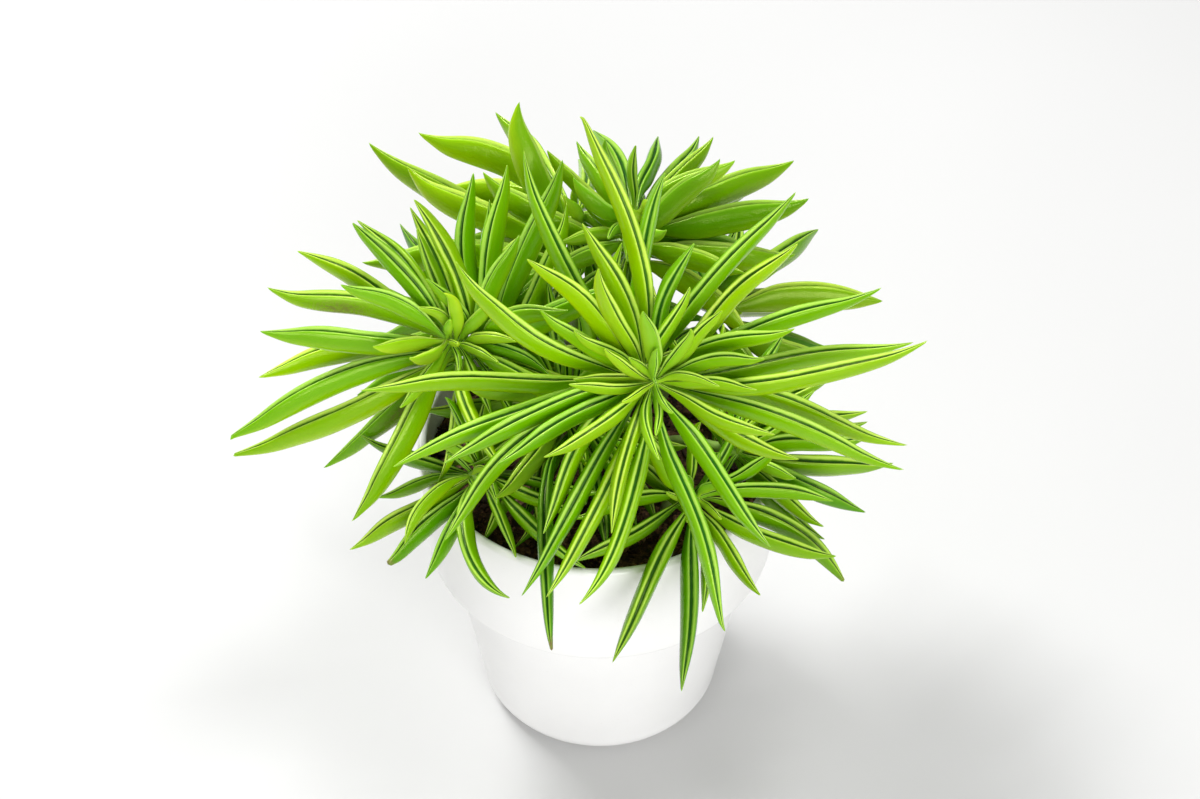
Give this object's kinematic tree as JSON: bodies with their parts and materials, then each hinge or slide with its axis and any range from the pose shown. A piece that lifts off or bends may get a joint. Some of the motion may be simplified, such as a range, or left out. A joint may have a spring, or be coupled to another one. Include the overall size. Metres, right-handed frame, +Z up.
{
  "type": "potted peperomia",
  "caption": "Bushy potted peperomia with narrow pod-like leaves in a white ceramic cover pot with a deep collar.",
  "frame": {"origin": "middle of the pot's flat bottom, on the surface it stands on", "axes": "+Z up along the pot's axis, -Y towards the plant's front, +X to the right seen from the front"},
  "size_m": [0.2418, 0.2178, 0.2892],
  "materials": {
    "white_ceramic": "satin white glaze",
    "dark_peat": "moist crumbly potting soil with bark",
    "stem_green": "matte fleshy stem",
    "leaf_green": "glossy fleshy leaf with a darker window line"
  },
  "bodies": {
    "root": {"back_leaf_22": "leaf_green", "back_leaf_34": "leaf_green", "back_leaf_35": "leaf_green", "back_left_leaf_14": "leaf_green", "back_left_leaf_15": "leaf_green", "back_left_leaf_17": "leaf_green", "back_left_leaf_19": "leaf_green", "back_left_leaf_22": "leaf_green", "back_left_leaf_23": "leaf_green", "back_left_leaf_24": "leaf_green", "back_left_stem": "stem_green", "back_stem": "stem_green", "cover_pot": "white_ceramic", "front_leaf_23": "leaf_green", "front_leaf_28": "leaf_green", "front_leaf_29": "leaf_green", "front_leaf_30": "leaf_green", "front_leaf_31": "leaf_green", "front_leaf_32": "leaf_green", "front_leaf_33": "leaf_green", "front_leaf_34": "leaf_green", "front_leaf_35": "leaf_green", "front_leaf_36": "leaf_green", "front_leaf_37": "leaf_green", "front_leaf_38": "leaf_green", "front_leaf_39": "leaf_green", "front_leaf_40": "leaf_green", "front_leaf_41": "leaf_green", "front_leaf_42": "leaf_green", "front_leaf_43": "leaf_green", "front_leaf_44": "leaf_green", "front_leaf_45": "leaf_green", "front_leaf_46": "leaf_green", "front_leaf_47": "leaf_green", "front_leaf_48": "leaf_green", "front_left_stem": "stem_green", "front_stem": "stem_green", "left_leaf_21": "leaf_green", "left_leaf_22": "leaf_green", "left_leaf_24": "leaf_green", "left_leaf_25": "leaf_green", "left_leaf_26": "leaf_green", "left_leaf_28": "leaf_green", "left_leaf_29": "leaf_green", "left_leaf_30": "leaf_green", "left_leaf_31": "leaf_green", "left_leaf_32": "leaf_green", "left_leaf_34": "leaf_green", "left_leaf_35": "leaf_green", "left_leaf_37": "leaf_green", "left_stem": "stem_green", "low_front_leaf_13": "leaf_green", "low_front_stem": "stem_green", "middle_leaf_23": "leaf_green", "middle_stem": "stem_green", "rear_left_stem": "stem_green", "rear_right_leaf_15": "leaf_green", "rear_right_stem": "stem_green", "right_stem": "stem_green", "soil": "dark_peat"}
  },
  "joints": []
}
